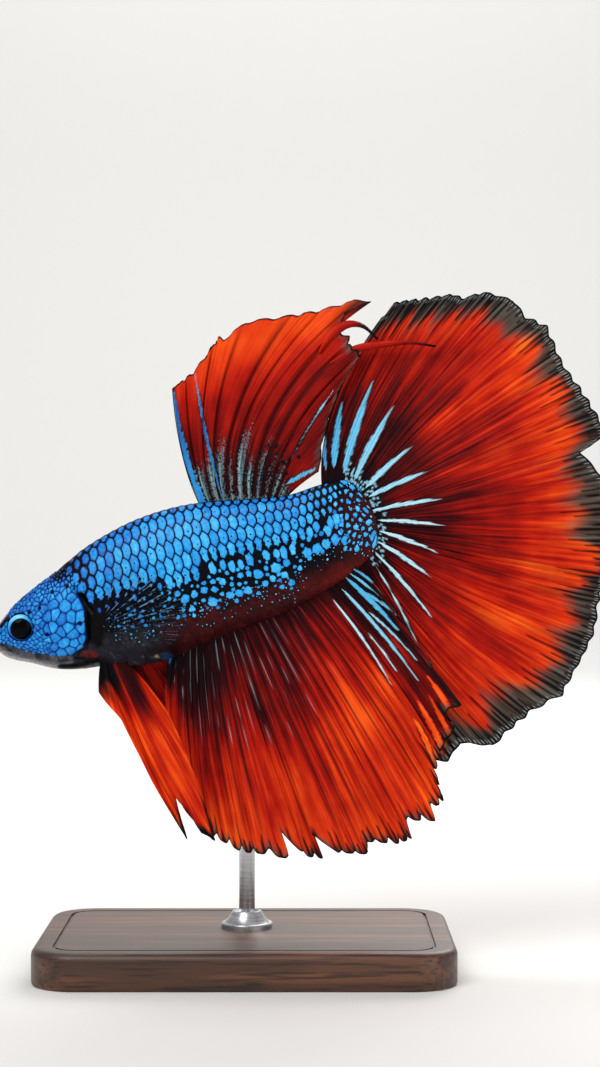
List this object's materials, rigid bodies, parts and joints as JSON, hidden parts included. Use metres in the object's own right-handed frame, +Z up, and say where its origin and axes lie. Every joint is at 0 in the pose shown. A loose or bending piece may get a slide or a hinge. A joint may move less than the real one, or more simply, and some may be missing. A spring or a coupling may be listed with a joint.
{
  "type": "halfmoon betta fish display model",
  "caption": "Life-size still model of a halfmoon betta fish, blue scaled body with spread red fins, held over a flat base by a rod.",
  "frame": {"origin": "centre of the stand base's underside", "axes": "+Z up; the fish's head points to -X, its left flank faces -Y"},
  "size_m": [0.0694, 0.03, 0.0758],
  "materials": {
    "blue_scales": "glossy painted scales, blue with dark navy rims",
    "dark_skin": "satin painted skin, grey brown to black",
    "eye": "polished eye, black pupil with a bright blue ring",
    "red_fin": "thin satin membrane, maroon at the root to orange red, smoky black edge",
    "clear_fin": "thin clear membrane with fine dark rays",
    "stand_wood": "dark walnut, oiled",
    "stand_steel": "brushed"
  },
  "bodies": {
    "root": {"head": "blue_scales", "lower_jaw": "dark_skin", "gill_cover_left": "blue_scales", "gill_cover_right": "blue_scales", "gill_membrane_left": "dark_skin", "gill_membrane_right": "dark_skin", "eye_left": "eye", "eye_right": "eye", "trunk": "blue_scales", "tail_stalk": "blue_scales", "dorsal_fin": "red_fin", "caudal_fin": "red_fin", "anal_fin": "red_fin", "ventral_fin_left": "red_fin", "ventral_fin_right": "red_fin", "pectoral_fin_left": "clear_fin", "pectoral_fin_right": "clear_fin", "stand_base": "stand_wood", "stand_rod": "stand_steel", "stand_collar": "stand_steel"}
  },
  "joints": []
}
